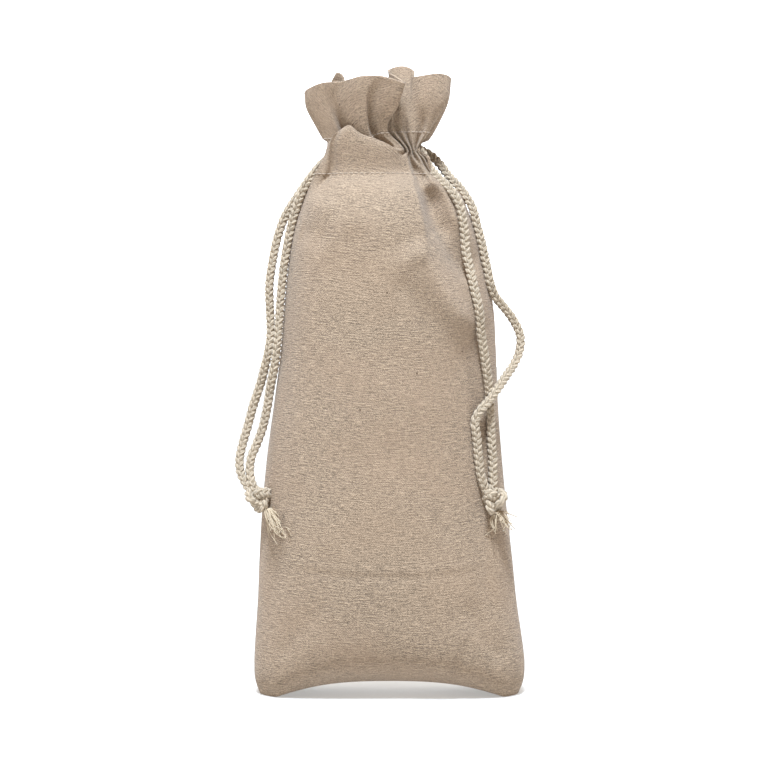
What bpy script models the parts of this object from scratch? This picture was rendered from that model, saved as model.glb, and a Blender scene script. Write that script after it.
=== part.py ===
"""A cotton drawstring wine gift bag, filled and standing, with its neck drawn closed.

Two sewn panels make the body. Their tops are folded down inside to make a channel for two
drawcords and a loose frill above it. Each drawcord runs once round the channel, comes out of
the slit at one side seam as two tails, and the tails are knotted together and frayed.

+X is the bag's right as seen from the front, -Y is the front and +Z is up. The origin is on
the surface that the bag stands on, under the middle of its bottom. Units are metres.
"""

import math

import bmesh
import bpy
from mathutils import Vector

# Driving dimensions of the cloth
WALL = 0.0012
FRILL_WALL = 0.0016
SEAM_GAP = 0.0005
ARCH_HEIGHT = 0.008
ARCH_HALF = 0.066
ARCH_BLEND = 0.060
ARCH_POWER = 3.0
BOTTOM_ROUNDING = 0.024
BOTTOM_BLUNTNESS = 0.35

# The channel and the frill
NECK_X = -0.009
CHANNEL_LOW = 0.304
CHANNEL_HIGH = 0.328
CHANNEL_SPAN = 0.8
SLIT_LOW = 0.300
FRILL_LOW = 0.3292
FRONT_FRILL_TOP = (0.353, 0.361)
REAR_FRILL_TOP = (0.361, 0.366)
FRILL_SPAN = 0.93
FACING_Y = (0.0042, 0.0056)
FACING_HALF_LENGTH = 0.017
STITCH_SIZE = 0.0007
STITCH_OFF = 0.00035
STITCH_INSET = 0.0015

# The drawcords
CORD = 0.0048
RUN_Y = 0.0087
LEFT_RUN_Z = 0.3115
RIGHT_RUN_Z = 0.3185
RUN_END = 0.024
BEND_START = 0.0153
FIT = 0.0003
SWING_GAP = 0.0026

# Body sections: height, left edge, right edge, half depth, roundness power, edge power
SECTIONS = (
    (0.000, -0.0765, 0.0758, 0.0175, 4.0, 0.45),
    (0.008, -0.0795, 0.0790, 0.0195, 4.0, 0.45),
    (0.024, -0.0795, 0.0790, 0.0230, 3.2, 0.52),
    (0.055, -0.0771, 0.0742, 0.0280, 2.6, 0.58),
    (0.113, -0.0742, 0.0678, 0.0345, 2.2, 0.60),
    (0.171, -0.0685, 0.0628, 0.0395, 2.2, 0.60),
    (0.229, -0.0614, 0.0605, 0.0430, 2.2, 0.60),
    (0.252, -0.0597, 0.0545, 0.0415, 2.2, 0.58),
    (0.276, -0.0550, 0.0457, 0.0345, 2.2, 0.56),
    (0.292, -0.0490, 0.0375, 0.0270, 2.4, 0.50),
    (0.304, -0.0435, 0.0290, 0.0198, 3.6, 0.34),
    (0.318, -0.0358, 0.0172, 0.0145, 5.0, 0.20),
    (0.328, -0.0412, 0.0235, 0.0160, 5.0, 0.20),
)
PANEL_HEIGHTS = (
    0.0, 0.002, 0.005, 0.010, 0.017, 0.026, 0.040, 0.060, 0.085, 0.113, 0.142, 0.171,
    0.200, 0.229, 0.243, 0.256, 0.268, 0.280, 0.291, SLIT_LOW, CHANNEL_LOW, 0.308, 0.313,
    0.318, 0.323, CHANNEL_HIGH,
)  # fmt: skip
PANEL_COLUMNS = 18

# Frill sections: share of its height, left edge, right edge, half depth
FRILL_SECTIONS = (
    (0.00, -0.0415, 0.0240, 0.0160),
    (0.35, -0.0450, 0.0280, 0.0190),
    (0.70, -0.0485, 0.0330, 0.0240),
    (1.00, -0.0500, 0.0355, 0.0280),
)
FRILL_ROUNDNESS = (4.0, 0.28)
FRILL_COLUMNS = 14

# Where each cord's tails lie, from the slit down to the knot
LEFT_FRONT_TAIL = (
    (-0.0356, -0.0087, 0.3115), (-0.0395, -0.0086, 0.3107), (-0.0440, -0.0082, 0.3070),
    (-0.0492, -0.0076, 0.2988), (-0.0534, -0.0068, 0.2892), (-0.0572, -0.0058, 0.2780),
    (-0.0604, -0.0052, 0.2642), (-0.0632, -0.0046, 0.2520), (-0.0645, -0.0044, 0.2390),
    (-0.0654, -0.0046, 0.2270), (-0.0656, -0.0062, 0.2142), (-0.0662, -0.0084, 0.2031),
    (-0.0676, -0.0080, 0.1932), (-0.0695, -0.0060, 0.1827), (-0.0722, -0.0056, 0.1670),
    (-0.0752, -0.0060, 0.1566), (-0.0776, -0.0070, 0.1478), (-0.0793, -0.0086, 0.1385),
    (-0.0795, -0.0106, 0.1295), (-0.0783, -0.0128, 0.1226),
)  # fmt: skip
LEFT_REAR_TAIL = (
    (-0.0356, 0.0087, 0.3115), (-0.0395, 0.0086, 0.3107), (-0.0440, 0.0082, 0.3070),
    (-0.0496, 0.0075, 0.2990), (-0.0542, 0.0064, 0.2892), (-0.0585, 0.0050, 0.2785),
    (-0.0630, 0.0034, 0.2685), (-0.0671, 0.0020, 0.2575), (-0.0696, 0.0012, 0.2456),
    (-0.0706, 0.0008, 0.2334), (-0.0701, 0.0007, 0.2206), (-0.0694, 0.0008, 0.2101),
    (-0.0700, 0.0008, 0.2008), (-0.0722, 0.0006, 0.1915), (-0.0752, 0.0000, 0.1804),
    (-0.0784, -0.0008, 0.1711), (-0.0816, -0.0018, 0.1630), (-0.0843, -0.0030, 0.1546),
    (-0.0862, -0.0048, 0.1455), (-0.0873, -0.0066, 0.1374), (-0.0872, -0.0086, 0.1298),
    (-0.0858, -0.0106, 0.1222),
)  # fmt: skip
RIGHT_FRONT_TAIL = (
    (0.0176, -0.0087, 0.3185), (0.0215, -0.0096, 0.3174), (0.0258, -0.0124, 0.3122),
    (0.0302, -0.0158, 0.3036), (0.0344, -0.0166, 0.2944), (0.0378, -0.0172, 0.2869),
    (0.0402, -0.0200, 0.2776), (0.0430, -0.0228, 0.2654), (0.0459, -0.0254, 0.2526),
    (0.0481, -0.0266, 0.2404), (0.0499, -0.0268, 0.2293), (0.0516, -0.0262, 0.2183),
    (0.0538, -0.0244, 0.2078), (0.0560, -0.0222, 0.1938), (0.0572, -0.0207, 0.1822),
    (0.0578, -0.0200, 0.1682), (0.0580, -0.0202, 0.1560), (0.0585, -0.0206, 0.1397),
    (0.0592, -0.0208, 0.1304), (0.0606, -0.0212, 0.1232),
)  # fmt: skip
RIGHT_REAR_TAIL = (
    (0.0176, 0.0087, 0.3185), (0.0215, 0.0084, 0.3170), (0.0262, 0.0072, 0.3118),
    (0.0312, 0.0050, 0.3065), (0.0355, 0.0020, 0.3012), (0.0397, -0.0018, 0.2950),
    (0.0435, -0.0052, 0.2880), (0.0473, -0.0074, 0.2794), (0.0508, -0.0084, 0.2700),
    (0.0542, -0.0092, 0.2602), (0.0570, -0.0112, 0.2480), (0.0592, -0.0118, 0.2385),
    (0.0620, -0.0088, 0.2302), (0.0670, -0.0070, 0.2241), (0.0722, -0.0062, 0.2172),
    (0.0748, -0.0070, 0.2084), (0.0733, -0.0100, 0.1973), (0.0690, -0.0150, 0.1880),
    (0.0634, -0.0212, 0.1787), (0.0584, -0.0264, 0.1711), (0.0530, -0.0284, 0.1653),
    (0.0503, -0.0286, 0.1595), (0.0501, -0.0282, 0.1536), (0.0504, -0.0276, 0.1478),
    (0.0502, -0.0272, 0.1403), (0.0506, -0.0268, 0.1327), (0.0524, -0.0262, 0.1268),
    (0.0545, -0.0258, 0.1232),
)  # fmt: skip

# Knots: centre and half sizes. Tassels: top, bottom, and their top and bottom radii
LEFT_KNOT = ((-0.0755, -0.0150, 0.1140), (0.0080, 0.0055, 0.0072))
RIGHT_KNOT = ((0.0595, -0.0245, 0.1140), (0.0075, 0.0055, 0.0072))
LEFT_TASSEL = ((-0.0690, -0.0190, 0.1055), (-0.0620, -0.0262, 0.0930))
RIGHT_TASSEL = ((0.0625, -0.0245, 0.1058), (0.0635, -0.0252, 0.0950))
TASSEL_RADII = (0.0028, 0.0060)

CANVAS = ("canvas", (0.62, 0.50, 0.36, 1.0), 0.95)
BRAID = ("cord_cotton", (0.60, 0.51, 0.38, 1.0), 0.95)
THREAD = ("thread", (0.66, 0.56, 0.42, 1.0), 0.9)


def clear_scene():
    for obj in list(bpy.data.objects):
        bpy.data.objects.remove(obj)


def material(finish):
    name, colour, roughness = finish
    made = bpy.data.materials.get(name)
    if made is None:
        made = bpy.data.materials.new(name)
        made.use_nodes = True
        shader = made.node_tree.nodes["Principled BSDF"]
        shader.inputs["Base Color"].default_value = colour
        shader.inputs["Roughness"].default_value = roughness
        shader.inputs["Metallic"].default_value = 0.0
    return made


def add_object(name, data, finish):
    obj = bpy.data.objects.new(name, data)
    obj.data.materials.append(material(finish))
    bpy.context.scene.collection.objects.link(obj)
    return obj


def between(table, at):
    """The row of a table at that first value, on a smooth curve through the rows."""
    last = len(table) - 1
    i = max(k for k in range(last) if table[k][0] <= at or k == 0)
    low, high = table[i], table[i + 1]
    step = high[0] - low[0]
    t = (at - low[0]) / step
    values = []
    for k in range(1, len(low)):
        before, after = table[max(i - 1, 0)], table[min(i + 2, last)]
        slope_low = (high[k] - before[k]) / (high[0] - before[0]) * step
        slope_high = (after[k] - low[k]) / (after[0] - low[0]) * step
        values.append(
            low[k] * (1 + 2 * t) * (1 - t) ** 2
            + high[k] * t * t * (3 - 2 * t)
            + slope_low * t * (1 - t) ** 2
            - slope_high * t * t * (1 - t)
        )
    return values


def arch(x):
    """How high the bottom edge stands off the ground: the two corners are its feet."""
    return ARCH_HEIGHT * max(0.0, 1 - (abs(x) / ARCH_HALF) ** ARCH_POWER)


def columns(count, span=1.0):
    """Shares of the half width from side to side, closer together towards the seams."""
    return [span * math.sin(math.pi * (k / count - 0.5)) for k in range(count + 1)]


def body_point(height, u, inset=0.0):
    """A point on the front of the body, or inset into it. u is -1 at the left seam, 1 at the right."""
    left, right, depth, power, edge = between(SECTIONS, height)
    middle, half = (left + right) / 2, (right - left) / 2 - 2 * inset
    x = middle + half * u
    rise = min(height / BOTTOM_ROUNDING, 1)
    corner = min(abs(x) / ARCH_HALF, 1) ** 2
    blunt = BOTTOM_BLUNTNESS + (1 - BOTTOM_BLUNTNESS) * corner
    closing = blunt + (1 - blunt) * math.sqrt(1 - (1 - rise) ** 2)
    y = (depth - inset) * closing * max(0.0, 1 - abs(u) ** power) ** edge
    z = height + arch(x) * (1 - min(height / ARCH_BLEND, 1))
    z += inset * max(0.0, 1 - height / BOTTOM_ROUNDING)
    return Vector((x, -max(y, SEAM_GAP / 2), z))


def frill_point(top, share, u, inset=0.0):
    """A point on the front of the frill. top is the top edge's height at the left and right."""
    left, right, depth = between(FRILL_SECTIONS, share)
    power, edge = FRILL_ROUNDNESS
    middle, half = (left + right) / 2, (right - left) / 2 - inset
    high = top[0] + (top[1] - top[0]) * (u / FRILL_SPAN + 1) / 2
    y = (depth - inset) * (1 - abs(u) ** power) ** edge
    return Vector((middle + half * u, -y, FRILL_LOW + (high - FRILL_LOW) * share))


def shell(name, outer, inner, finish, mirrored):
    """A closed shell between two grids of points, with a rim round its border."""
    mesh = bmesh.new()
    sign = -1 if mirrored else 1
    grids = [
        [[mesh.verts.new((p.x, sign * p.y, p.z)) for p in row] for row in grid]
        for grid in (outer, inner)
    ]
    rows, across = len(outer), len(outer[0])
    for grid in grids:
        for i in range(rows - 1):
            for j in range(across - 1):
                corners = (grid[i][j], grid[i][j + 1], grid[i + 1][j + 1], grid[i + 1][j])
                mesh.faces.new(corners)
    border = [(0, j) for j in range(across)]
    border += [(i, across - 1) for i in range(1, rows)]
    border += [(rows - 1, j) for j in range(across - 2, -1, -1)]
    border += [(i, 0) for i in range(rows - 2, 0, -1)]
    for (i, j), (k, m) in zip(border, border[1:] + border[:1]):
        mesh.faces.new((grids[0][i][j], grids[0][k][m], grids[1][k][m], grids[1][i][j]))
    bmesh.ops.recalc_face_normals(mesh, faces=mesh.faces)
    data = bpy.data.meshes.new(name)
    mesh.to_mesh(data)
    mesh.free()
    return add_object(name, data, finish)


def panel(name, mirrored):
    """One side of the body, from the bottom seam to the top of the channel's outer layer."""
    grids = []
    for inset in (0.0, WALL):
        seam = []
        for u in columns(PANEL_COLUMNS):
            edge = body_point(0.0, u, inset)
            seam.append(Vector((edge.x, -SEAM_GAP / 2, edge.z)))
        grid = [seam]
        for height in PANEL_HEIGHTS:
            span = CHANNEL_SPAN if height > SLIT_LOW else 1.0
            grid.append([body_point(height, u, inset) for u in columns(PANEL_COLUMNS, span)])
        grids.append(grid)
    return shell(name, *grids, CANVAS, mirrored)


def frill(name, top, mirrored):
    """The loose doubled cloth above the channel on one side."""
    shares = [k / 6 for k in range(7)]
    grids = [
        [
            [frill_point(top, share, u, inset) for u in columns(FRILL_COLUMNS, FRILL_SPAN)]
            for share in shares
        ]
        for inset in (0.0, FRILL_WALL)
    ]
    return shell(name, *grids, CANVAS, mirrored)


def box(name, low, high, finish):
    grids = [
        [[Vector((x, y, z)) for x in (low[0], high[0])] for z in (low[2], high[2])]
        for y in (low[1], high[1])
    ]
    return shell(name, *grids, finish, False)


def facing(name, side):
    """The folded-down inner layer of the channel. side is -1 at the front and 1 at the rear."""
    near, far = sorted((side * FACING_Y[0], side * FACING_Y[1]))
    low = (NECK_X - FACING_HALF_LENGTH, near, CHANNEL_LOW + FIT)
    high = (NECK_X + FACING_HALF_LENGTH, far, CHANNEL_HIGH - FIT)
    return box(name, low, high, CANVAS)


def stitching(name, height, mirrored):
    """The raised row of stitches along one edge of the channel."""
    grids = [
        [
            [body_point(z, u, -off) for u in columns(PANEL_COLUMNS, CHANNEL_SPAN)]
            for z in (height - STITCH_SIZE / 2, height + STITCH_SIZE / 2)
        ]
        for off in (STITCH_OFF + STITCH_SIZE, STITCH_OFF)
    ]
    return shell(name, *grids, THREAD, mirrored)


def side_seam(name, side):
    """The seam allowance inside the bag along one side: -1 is the left and 1 the right."""
    inside, width, thickness = 0.008, 0.007, 0.0008
    heights = [0.020 + 0.014 * k for k in range(20)]
    grids = []
    for y in (-thickness / 2, thickness / 2):
        rows = []
        for z in heights:
            left, right = between(SECTIONS, z)[:2]
            edge = (left if side < 0 else right) - side * inside
            rows.append([Vector((edge, y, z)), Vector((edge - side * width, y, z))])
        grids.append(rows)
    return shell(name, *grids, THREAD, False)


def bottom_seam():
    """The seam allowance inside the bag along its bottom."""
    half, off, width, thickness = 0.062, 0.003, 0.007, 0.0008
    across = [half * (k / 10 - 1) for k in range(21)]
    grids = [
        [[Vector((x, y, arch(x) + up)) for x in across] for up in (off, off + width)]
        for y in (-thickness / 2, thickness / 2)
    ]
    return shell("bottom_seam", *grids, THREAD, False)


def tube(name, points):
    """A straight-ended round cord along the points."""
    curve = bpy.data.curves.new(name, "CURVE")
    curve.dimensions = "3D"
    spline = curve.splines.new("POLY")
    spline.points.add(len(points) - 1)
    for place, point in zip(spline.points, points):
        place.co = (*point, 1.0)
    curve.bevel_depth = CORD / 2
    curve.bevel_resolution = 2
    curve.use_fill_caps = True
    return add_object(name, curve, BRAID)


def smooth_route(route, step):
    """Points about a step apart on a smooth curve through the route's own points."""
    fine = []
    for i in range(len(route) - 1):
        before = Vector(route[max(i - 1, 0)])
        low, high = Vector(route[i]), Vector(route[i + 1])
        after = Vector(route[min(i + 2, len(route) - 1)])
        for k in range(8):
            t = k / 8
            fine.append(
                low * (1 + 2 * t) * (1 - t) ** 2
                + high * t * t * (3 - 2 * t)
                + (high - before) / 2 * t * (1 - t) ** 2
                - (after - low) / 2 * t * t * (1 - t)
            )
    fine.append(Vector(route[-1]))
    lengths = [0.0]
    for a, b in zip(fine, fine[1:]):
        lengths.append(lengths[-1] + (b - a).length)
    count = max(2, round(lengths[-1] / step))
    points, at = [], 0
    for k in range(count + 1):
        along = lengths[-1] * k / count
        while at < len(lengths) - 2 and lengths[at + 1] < along:
            at += 1
        share = (along - lengths[at]) / (lengths[at + 1] - lengths[at])
        points.append(fine[at].lerp(fine[at + 1], share))
    return points


def channel_cord(side, name, height):
    """The two straight runs of a cord in the channel and the bend at the far slit."""
    near = NECK_X + side * RUN_END
    far = NECK_X - side * BEND_START
    for where, y in (("front", -RUN_Y), ("rear", RUN_Y)):
        ends = (near, y, height), (far + side * FIT, y, height)
        tube(f"{name}_cord_{where}_run", ends)
    turns = [math.pi * k / 12 for k in range(13)]
    bend = [
        (far - side * RUN_Y * math.sin(a), -RUN_Y * math.cos(a), height) for a in turns
    ]
    tube(f"{name}_cord_bend", bend)


def knot(name, place):
    """The outer shape of the overhand knot that joins the two tails."""
    centre, half = place
    mesh = bmesh.new()
    bmesh.ops.create_icosphere(mesh, subdivisions=2, radius=1.0)
    bmesh.ops.scale(mesh, vec=half, verts=mesh.verts)
    bmesh.ops.translate(mesh, vec=centre, verts=mesh.verts)
    data = bpy.data.meshes.new(name)
    mesh.to_mesh(data)
    mesh.free()
    return add_object(name, data, BRAID)


def tassel(name, place):
    """The outer shape of the frayed ends below a knot."""
    top, bottom = Vector(place[0]), Vector(place[1])
    mesh = bmesh.new()
    bmesh.ops.create_cone(
        mesh,
        cap_ends=True,
        segments=12,
        radius1=TASSEL_RADII[0],
        radius2=TASSEL_RADII[1],
        depth=(bottom - top).length,
    )
    turn = (bottom - top).to_track_quat("Z", "Y").to_matrix()
    bmesh.ops.rotate(mesh, cent=(0, 0, 0), matrix=turn, verts=mesh.verts)
    bmesh.ops.translate(mesh, vec=(top + bottom) / 2, verts=mesh.verts)
    data = bpy.data.meshes.new(name)
    mesh.to_mesh(data)
    mesh.free()
    return add_object(name, data, BRAID)


def drawcord(side, name, height, tails, knot_place, tassel_place):
    """One drawcord: its channel runs, its two tails, their knot and its frayed ends."""
    channel_cord(side, name, height)
    for where, route in zip(("front", "rear"), tails):
        tube(f"{name}_{where}_tail", smooth_route(route, 2 * CORD))
    knot(f"{name}_knot", knot_place)
    tassel(f"{name}_tassel", tassel_place)


def main():
    clear_scene()
    panel("front_panel", False)
    panel("rear_panel", True)
    facing("front_facing", -1)
    facing("rear_facing", 1)
    frill("front_frill", FRONT_FRILL_TOP, False)
    frill("rear_frill", REAR_FRILL_TOP, True)
    for where, mirrored in (("front", False), ("rear", True)):
        stitching(f"{where}_lower_stitching", CHANNEL_LOW + STITCH_INSET, mirrored)
        stitching(f"{where}_upper_stitching", CHANNEL_HIGH - STITCH_INSET, mirrored)
    side_seam("left_side_seam", -1)
    side_seam("right_side_seam", 1)
    bottom_seam()
    left_tails = (LEFT_FRONT_TAIL, LEFT_REAR_TAIL)
    right_tails = (RIGHT_FRONT_TAIL, RIGHT_REAR_TAIL)
    drawcord(-1, "left", LEFT_RUN_Z, left_tails, LEFT_KNOT, LEFT_TASSEL)
    drawcord(1, "right", RIGHT_RUN_Z, right_tails, RIGHT_KNOT, RIGHT_TASSEL)


main()
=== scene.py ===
"""A cotton drawstring wine gift bag, filled and standing, with its neck drawn closed.

The sewn canvas, its stitching, the plaited drawcords, their knots and their frayed ends are each
made by an operator of their own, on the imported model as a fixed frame. Units are metres, +Z is
up and -Y is the front.
"""

import math
import random

import bmesh
import bpy
import numpy as np
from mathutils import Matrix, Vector, noise
from mathutils.bvhtree import BVHTree


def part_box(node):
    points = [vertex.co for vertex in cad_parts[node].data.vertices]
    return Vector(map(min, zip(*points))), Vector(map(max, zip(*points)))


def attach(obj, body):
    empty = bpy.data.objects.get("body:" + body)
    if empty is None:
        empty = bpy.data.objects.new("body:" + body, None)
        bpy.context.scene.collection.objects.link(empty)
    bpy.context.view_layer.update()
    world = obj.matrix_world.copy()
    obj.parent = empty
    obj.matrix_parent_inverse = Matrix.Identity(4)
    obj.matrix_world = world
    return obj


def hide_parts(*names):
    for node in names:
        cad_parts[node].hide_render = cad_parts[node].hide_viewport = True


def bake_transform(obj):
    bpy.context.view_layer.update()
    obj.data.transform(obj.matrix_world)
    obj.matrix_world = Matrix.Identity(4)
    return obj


bl_info = {
    "name": "Drawstring Wine Gift Bag",
    "version": (1, 0, 0),
    "blender": (4, 5, 0),
    "location": "View3D > Sidebar > Gift Bag",
    "description": "Makes a filled cotton drawstring bag for a wine bottle",
    "category": "Add Mesh",
}

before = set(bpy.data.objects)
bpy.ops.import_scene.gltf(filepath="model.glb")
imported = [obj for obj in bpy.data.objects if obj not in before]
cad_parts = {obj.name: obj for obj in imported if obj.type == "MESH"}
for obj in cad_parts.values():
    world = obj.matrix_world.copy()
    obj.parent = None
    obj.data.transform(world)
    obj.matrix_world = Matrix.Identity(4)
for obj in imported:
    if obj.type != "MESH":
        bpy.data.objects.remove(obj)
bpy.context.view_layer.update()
MM = 0.001

# Lengths in the tables and values below are millimetres, except where metres are named

# The bag's side edges: height, left and right, in millimetres
BODY_EDGES = (
    (0, -76.5, 75.6), (6, -78.6, 78.0), (18, -79.6, 79.0), (31, -79.0, 77.6), (54, -77.4, 74.2),
    (77, -76.4, 71.8), (112, -74.3, 67.8), (141, -71.4, 65.0), (170, -67.4, 62.8), (200, -63.4, 61.6),
    (229, -61.0, 59.6), (249, -59.0, 55.4), (272, -55.2, 49.0), (291, -49.2, 41.2),
)  # fmt: skip
# Its cross-section: height, half depth, roundness power, edge power
BODY_DEPTHS = (
    (0, 21.0, 4.0, 0.45), (8, 26.4, 4.0, 0.45), (24, 32.2, 3.4, 0.50), (55, 36.4, 3.1, 0.52),
    (113, 38.8, 2.9, 0.53), (171, 40.0, 2.8, 0.54), (229, 40.8, 2.8, 0.54), (252, 41.0, 2.7, 0.54),
    (264, 41.2, 2.6, 0.53), (274, 40.6, 2.5, 0.52), (283, 38.0, 2.4, 0.52), (291, 33.4, 2.4, 0.50),
)  # fmt: skip
FLAT_WIDTH = 165
ARCH_HEIGHT = 8.0
ARCH_HALF = 66.0
ARCH_BLEND = 60.0
ARCH_POWER = 3.0
BOTTOM_ROUNDING = 24.0
BOTTOM_BLUNTNESS = 0.35

# How the cloth crowds to the right as it nears the channel: share of the width at even steps
CROWDING_FROM = 190
CROWDING_OVER = 104
CROWDING = (
    0, .04, .08, .12, .155, .195, .265, .34, .41, .48, .545, .585, .625, .665, .69, .73, .775, .815, .84,
    .865, .89, .92, .945, .97, 1,
)  # fmt: skip
# The front cloth's pleats as x and y, from the left slit to the right one, at six heights
LOWER_STITCH = 304
LOWER_STITCH_ROW = (
    (-40.8, -10.8), (-42.4, -12.0), (-40.6, -13.8), (-36.6, -15.6), (-33.2, -14.2), (-29.4, -17.8),
    (-23.5, -20.2), (-17.0, -21.2), (-10.4, -21.2), (-3.8, -20.4), (1.4, -19.0), (4.8, -17.0), (8.2, -16.6),
    (11.6, -17.8), (13.6, -12.8), (17.0, -14.4), (19.2, -16.8), (21.0, -15.4), (21.8, -13.0), (22.8, -13.6),
    (23.4, -12.4), (23.8, -12.0), (23.6, -11.6), (23.0, -11.8), (22.2, -11.4),
)  # fmt: skip
CHANNEL_MIDDLE = 312
CHANNEL_MIDDLE_ROW = (
    (-36.8, -11.6), (-38.2, -12.8), (-37.0, -14.4), (-34.2, -16.2), (-31.4, -15.2), (-28.0, -17.6),
    (-22.8, -19.4), (-17.2, -20.0), (-11.4, -19.8), (-5.6, -19.0), (-0.4, -17.8), (3.8, -16.4),
    (6.8, -14.6), (9.6, -15.6), (11.0, -12.4), (12.6, -15.0), (14.2, -12.4), (16.0, -14.8), (17.4, -12.2),
    (18.6, -14.2), (19.6, -12.0), (20.6, -13.4), (21.4, -12.0), (21.8, -12.6), (21.0, -11.4),
)  # fmt: skip
CINCH = 318.5
CINCH_ROW = (
    (-34.6, -11.4), (-35.8, -12.8), (-34.0, -14.4), (-30.0, -15.0), (-24.8, -14.4), (-20.5, -11.6),
    (-16.0, -14.8), (-11.4, -15.6), (-6.0, -15.4), (-1.5, -13.6), (3.0, -15.6), (7.4, -15.2), (8.6, -11.8),
    (9.9, -15.2), (10.9, -11.6), (12.0, -14.8), (12.8, -11.6), (13.6, -14.2), (14.4, -12.4), (15.0, -11.4),
    (15.6, -12.8), (16.2, -11.6), (16.8, -12.4), (17.0, -12.0), (16.2, -11.2),
)  # fmt: skip
CINCH_HEIGHTS = (318.5,) * 9 + (317.6, 316.8, 316.2) + (315.8,) * 13
UPPER_STITCH = 329
UPPER_STITCH_ROW = (
    (-33.0, -2.4), (-38.0, -5.4), (-38.6, -10.0), (-33.6, -13.2), (-28.0, -13.6), (-24.8, -8.6),
    (-21.6, -13.4), (-16.4, -15.8), (-11.0, -15.6), (-10.0, -11.0), (-6.2, -14.8), (-1.6, -15.4),
    (-0.2, -12.4), (2.2, -15.2), (4.2, -12.0), (6.8, -14.8), (9.0, -11.6), (11.4, -14.0), (14.4, -13.4),
    (17.8, -9.6), (20.4, -12.2), (22.2, -10.8), (22.6, -6.6), (20.6, -3.8), (17.2, -2.4),
)  # fmt: skip
UPPER_STITCH_HEIGHTS = (323.0,) * 9 + (325.0, 326.0, 326.5) + (327.0,) * 13
FRILL_MIDDLE = 345
FRILL_MIDDLE_SHARE = 0.48
MIDDLE_ROW = (
    (-43.5, -0.8), (-47.4, -5.5), (-46.0, -11.0), (-41.0, -14.4), (-35.6, -15.8), (-31.0, -14.8),
    (-26.6, -18.2), (-20.0, -21.0), (-13.6, -22.4), (-11.8, -19.0), (-3.6, -22.8), (4.4, -22.2),
    (3.0, -18.6), (1.8, -16.2), (2.6, -14.2), (5.2, -14.0), (8.2, -14.2), (10.4, -13.2), (12.8, -13.8),
    (17.4, -15.2), (22.8, -14.8), (27.8, -12.4), (32.0, -8.8), (32.6, -5.0), (30.3, -0.8),
)  # fmt: skip
HEM = 362
HEM_ROW = (
    (-45.5, -0.8), (-49.2, -5.5), (-47.8, -11.5), (-43.0, -15.6), (-36.6, -17.8), (-30.0, -19.0),
    (-23.8, -21.5), (-17.5, -24.3), (-11.5, -25.8), (-5.0, -26.8), (1.8, -27.2), (8.6, -26.0), (5.0, -20.5),
    (0.6, -15.2), (0.2, -9.4), (4.2, -6.0), (9.4, -5.0), (12.6, -7.2), (12.6, -11.0), (17.2, -13.4),
    (23.0, -13.2), (28.8, -11.0), (33.6, -7.8), (35.2, -4.4), (33.0, -0.8),
)  # fmt: skip
HEM_HEIGHTS = (
    347.5, 348.3, 350.2, 352.6, 354.2, 354.3, 355.6, 356.9, 357.3, 356.7, 355.1, 352.9, 356.2, 359.6, 362.4,
    363.9, 364.0, 362.0, 358.0, 358.0, 359.0, 359.6, 358.6, 356.4, 354.5,
)  # fmt: skip
REAR_HEM_HEIGHTS = (
    352.5, 353.5, 354.0, 353.0, 351.5, 350.5, 349.5, 349.0, 349.5, 350.5, 351.5, 351.5, 350.5, 350.5, 351.0,
    351.5, 352.0, 353.0, 359.0, 361.8, 352.0, 350.5, 350.0, 349.0, 347.5,
)  # fmt: skip
# How far the filled cloth swells up in front of the drawn channel: x and height
PUFF = (
    (-60, 0), (-37, 0), (-33.5, 9), (-29, 13), (-23, 16), (-18, 12), (-9, 8.5), (-1, 5.5), (4, 2.5), (8, 0),
    (60, 0),
)  # fmt: skip
PUFF_OUT = 3.5
REAR_PUFF = ((-60, 0), (-34, 0), (-24, 3), (-9, 7), (4, 5), (14, 0), (60, 0))
FULL_PUFF = 12
SMALL_GATHERS = 41

# Folds in the filled cloth: their line as x and height, the width to its left and right, the
# height of the fold, and how crisp its crest is
FRONT_FOLDS = (
    (((10.6, 312), (11.8, 301), (13.2, 295), (16.4, 286), (18.6, 275), (20.4, 262), (21, 248)),
     10, 2.4, 7.0, 1.3),
    (((13, 268), (18, 256), (23.5, 246), (29.5, 236), (37, 226), (46, 217), (54, 211)), 15, 8.5, 8.6, 1.5),
    (((14.4, 306), (15.6, 298), (18.6, 288), (21.4, 277), (23.6, 264)), 2.0, 3.4, -4.6, 2),
    (((20.4, 298), (24.6, 283), (29, 268.5), (35, 257), (42, 246), (48, 240)), 4.8, 10.4, -8.6, 2),
    (((19.2, 297), (22, 285), (25.6, 273), (30, 262)), 2.6, 6, -4.2, 2),
    (((20, 306), (25, 299), (30, 292), (34, 284), (37.6, 276), (40, 268)), 3.6, 5, 2.6, 1.6),
    (((2, 244), (14, 232), (26, 219), (36, 206)), 8, 8, -1.4, 2),
    (((-33.4, 308), (-33.4, 296), (-35, 284)), 4.4, 4.4, -1.3, 2),
    (((-39, 303), (-40, 296), (-43, 286)), 2.6, 3.6, -0.9, 1.6),
    (((-50, 287), (-41, 284), (-32, 279)), 5, 5, 1.8, 2),
    (((-52, 270), (-44, 268), (-34, 262)), 7, 7, -2.4, 2),
    (((-25, 302), (-24, 285), (-20, 262)), 8, 9, 1.8, 2),
    (((-57, 262), (-59, 200), (-64, 130), (-68, 60), (-69, 34)), 4.0, 6, -1.3, 2),
    (((49, 236), (49, 190), (52, 130), (57, 60), (60, 34)), 6, 3.6, -2.2, 2),
    (((-66, 78), (-30, 74), (10, 73), (40, 75), (66, 80)), 1.8, 2.2, -0.5, 1.6),
    (((-66, 82), (-30, 78), (10, 77), (40, 79), (66, 84)), 2.6, 2.6, 0.35, 2),
    (((-66, 22), (-50, 40), (-38, 62)), 6, 7, -1.2, 2),
    (((66, 20), (52, 38), (42, 62)), 7, 6, -1.4, 2),
    (((39, 6), (42, 22), (46, 40)), 3.0, 3.5, -1.2, 2),
)  # fmt: skip
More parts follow.
